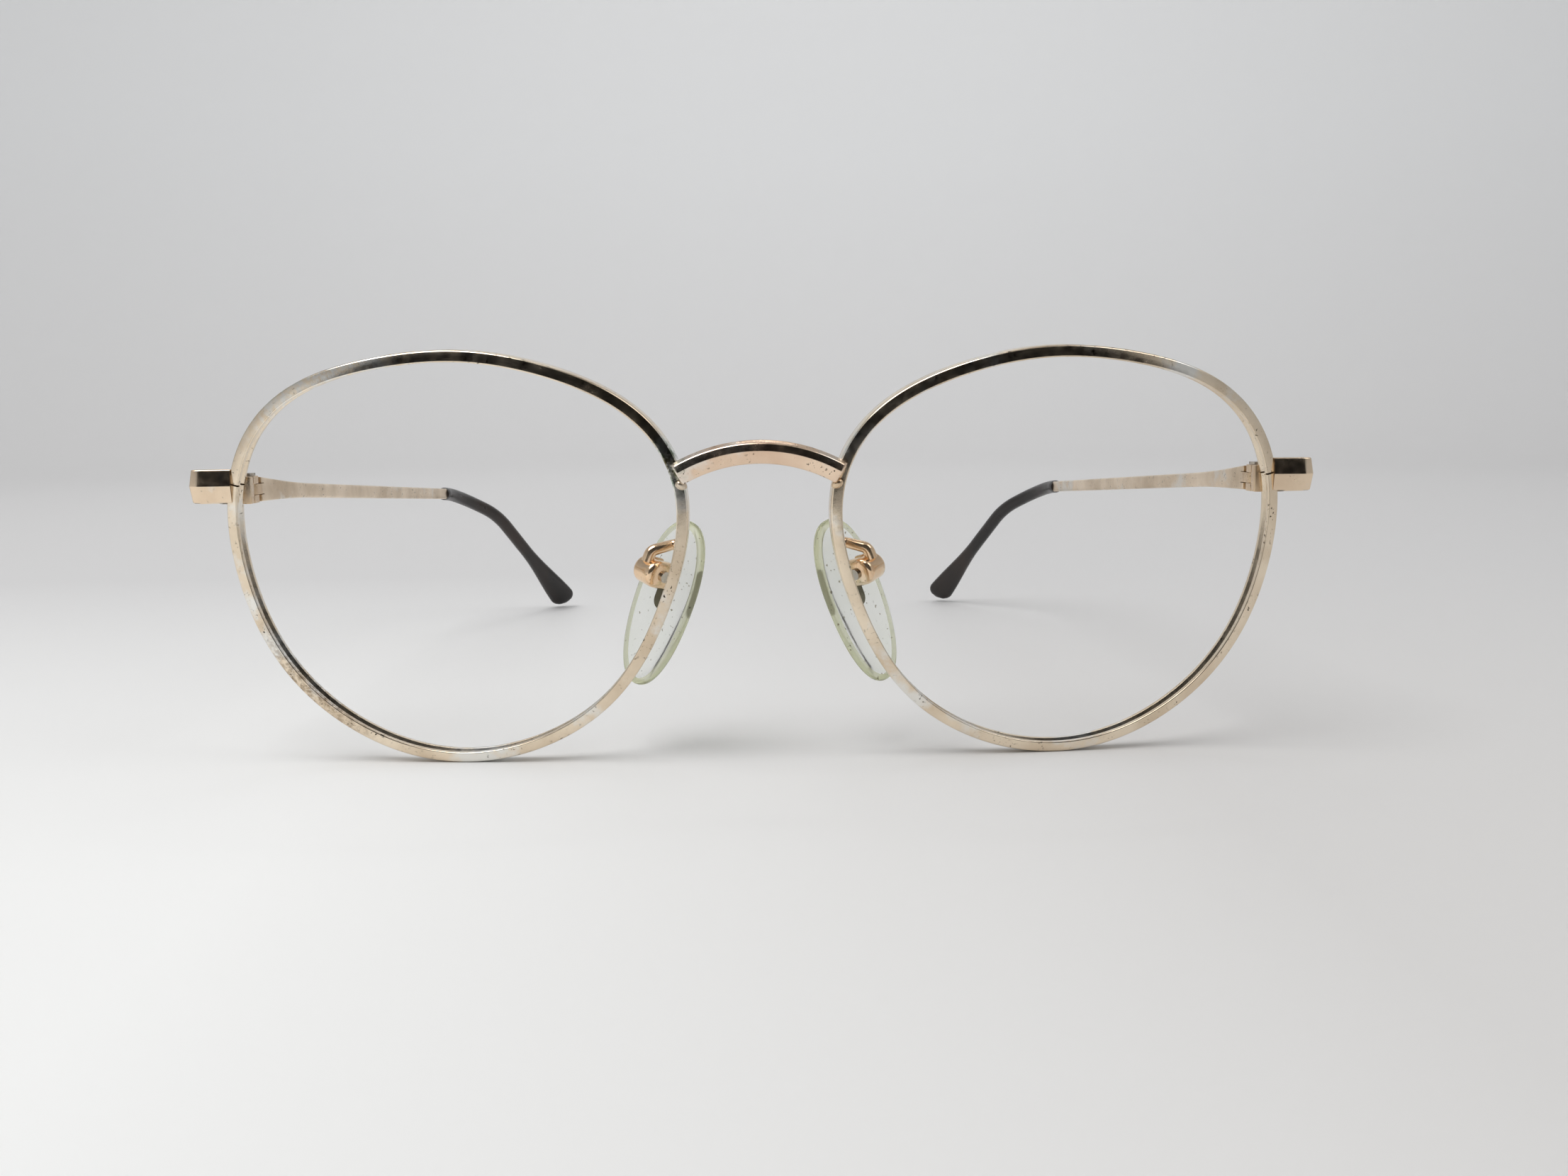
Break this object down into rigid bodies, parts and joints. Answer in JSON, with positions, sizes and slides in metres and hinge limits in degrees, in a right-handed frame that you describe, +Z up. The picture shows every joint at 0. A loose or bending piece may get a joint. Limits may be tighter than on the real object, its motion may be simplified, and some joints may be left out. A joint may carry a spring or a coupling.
{
  "type": "eyeglasses",
  "caption": "Full-rim wire eyeglasses with round panto lenses, an arched bridge, clear nose pads on arms, folding temples and dark curved ear tips.",
  "frame": {"origin": "middle of the footprint, on the surface that the rims and the ear tips stand on", "axes": "+Z up, +Y back along the temples, +X to the right as seen from the front"},
  "size_m": [0.1346, 0.1332, 0.05],
  "materials": {
    "gold": "worn pale gold plating, polished",
    "temple_metal": "pale gold plating, satin with light tarnish",
    "hinge": "satin, tarnished in the joints",
    "pad_metal": "polished rose gold",
    "screw": "plain, slotted",
    "insert": "satin plate moulded in the pad",
    "tip_plastic": "very dark brown, satin",
    "pad": "clear soft plastic, slightly yellowed",
    "lens": "clear, anti-reflection coated"
  },
  "bodies": {
    "frame": {"bridge": "gold", "right_rim": "gold", "left_rim": "gold", "right_lens": "lens", "left_lens": "lens", "right_rim_lock_upper": "gold", "left_rim_lock_upper": "gold", "right_rim_lock_lower": "gold", "left_rim_lock_lower": "gold", "right_rim_lock_screw": "screw", "left_rim_lock_screw": "screw", "right_lug": "gold", "left_lug": "gold", "right_front_hinge": "hinge", "left_front_hinge": "hinge", "right_hinge_screw": "screw", "left_hinge_screw": "screw", "right_pad_box": "pad_metal", "left_pad_box": "pad_metal", "right_pad_screw": "screw", "left_pad_screw": "screw", "right_pad_arm": "pad_metal", "left_pad_arm": "pad_metal"},
    "left_temple_arm": {"left_temple_hinge": "hinge", "left_temple": "temple_metal", "left_temple_tip": "tip_plastic"},
    "left_pad": {"left_pad_insert": "insert", "left_nose_pad": "pad"},
    "right_temple_arm": {"right_temple_hinge": "hinge", "right_temple": "temple_metal", "right_temple_tip": "tip_plastic"},
    "right_pad": {"right_pad_insert": "insert", "right_nose_pad": "pad"}
  },
  "joints": [
    {"name": "left_temple_hinge", "type": "hinge", "parent": "frame", "child": "left_temple_arm", "pos_m": [-0.062, -0.05656, 0.03366], "axis": [0, 0, 1], "range_deg": [-79, 0]},
    {"name": "right_temple_hinge", "type": "hinge", "parent": "frame", "child": "right_temple_arm", "pos_m": [0.062, -0.05656, 0.03366], "axis": [0, 0, 1], "range_deg": [0, 70]},
    {"name": "left_pad_rock", "type": "hinge", "parent": "frame", "child": "left_pad", "pos_m": [-0.01275, -0.05899, 0.0231], "axis": [0.6491, -0.7209, -0.2427], "range_deg": [-6, 6]},
    {"name": "right_pad_rock", "type": "hinge", "parent": "frame", "child": "right_pad", "pos_m": [0.01275, -0.05899, 0.0231], "axis": [-0.6491, -0.7209, -0.2427], "range_deg": [-6, 6]}
  ]
}
